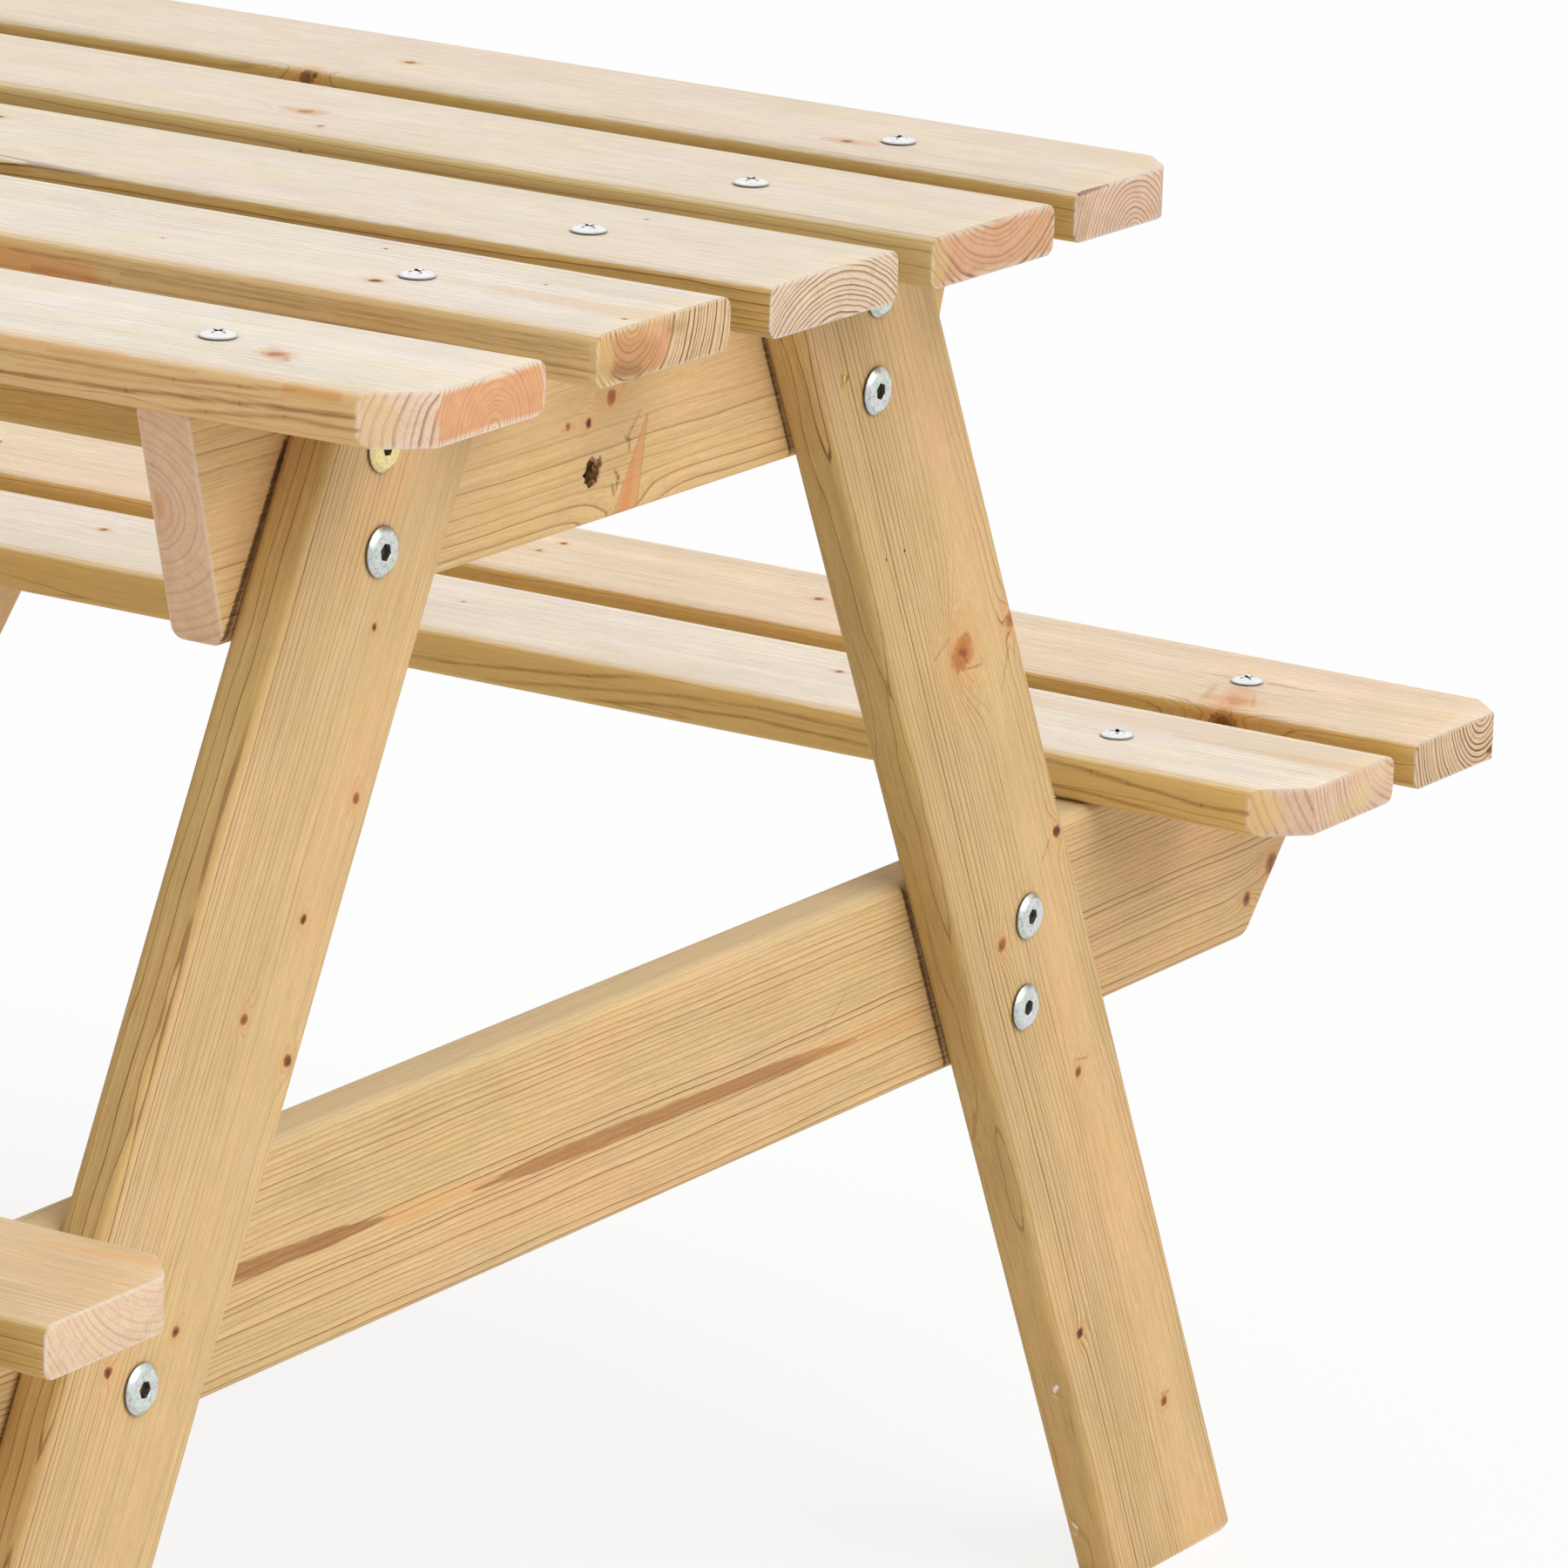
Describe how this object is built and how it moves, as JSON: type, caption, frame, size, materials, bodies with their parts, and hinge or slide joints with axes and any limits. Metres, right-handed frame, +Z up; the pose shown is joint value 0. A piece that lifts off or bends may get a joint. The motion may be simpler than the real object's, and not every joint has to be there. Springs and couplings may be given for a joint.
{
  "type": "kids picnic table",
  "caption": "Child-size wooden picnic table: slatted top and attached plank benches on splayed A-frame legs, held by bolted cross members and screws.",
  "frame": {"origin": "centre of the table's footprint, on the ground", "axes": "+X along the planks to the right end, +Y across to the rear bench, +Z up"},
  "size_m": [0.7161, 0.928, 0.515],
  "materials": {
    "pale_wood": "planed, unvarnished",
    "straw_wood": "planed, unvarnished",
    "olive_wood": "planed, unvarnished",
    "zinc": "zinc plated"
  },
  "bodies": {
    "root": {"bolt_left_front_seat_lower": "zinc", "bolt_left_front_seat_upper": "zinc", "bolt_left_front_top_lower": "zinc", "bolt_left_front_top_upper": "zinc", "bolt_left_rear_seat_lower": "zinc", "bolt_left_rear_seat_upper": "zinc", "bolt_left_rear_top_lower": "zinc", "bolt_left_rear_top_upper": "zinc", "bolt_right_front_seat_lower": "zinc", "bolt_right_front_seat_upper": "zinc", "bolt_right_front_top_lower": "zinc", "bolt_right_front_top_upper": "zinc", "bolt_right_rear_seat_lower": "zinc", "bolt_right_rear_seat_upper": "zinc", "bolt_right_rear_top_lower": "zinc", "bolt_right_rear_top_upper": "zinc", "centre_rail": "olive_wood", "front_bench_inner_plank": "pale_wood", "front_bench_inner_screw_left": "zinc", "front_bench_inner_screw_right": "zinc", "front_bench_outer_plank": "pale_wood", "front_bench_outer_screw_left": "zinc", "front_bench_outer_screw_right": "zinc", "left_front_leg": "straw_wood", "left_rear_leg": "straw_wood", "left_seat_support": "olive_wood", "left_top_support": "olive_wood", "rail_screw_left": "zinc", "rail_screw_right": "zinc", "rear_bench_inner_plank": "pale_wood", "rear_bench_inner_screw_left": "zinc", "rear_bench_inner_screw_right": "zinc", "rear_bench_outer_plank": "pale_wood", "rear_bench_outer_screw_left": "zinc", "rear_bench_outer_screw_right": "zinc", "right_front_leg": "straw_wood", "right_rear_leg": "straw_wood", "right_seat_support": "olive_wood", "right_top_support": "olive_wood", "tabletop_plank_1": "pale_wood", "tabletop_plank_2": "pale_wood", "tabletop_plank_3": "pale_wood", "tabletop_plank_4": "pale_wood", "tabletop_plank_5": "pale_wood", "tabletop_screw_1_left": "zinc", "tabletop_screw_1_right": "zinc", "tabletop_screw_2_left": "zinc", "tabletop_screw_2_right": "zinc", "tabletop_screw_3_left": "zinc", "tabletop_screw_3_right": "zinc", "tabletop_screw_4_left": "zinc", "tabletop_screw_4_right": "zinc", "tabletop_screw_5_left": "zinc", "tabletop_screw_5_right": "zinc"}
  },
  "joints": []
}
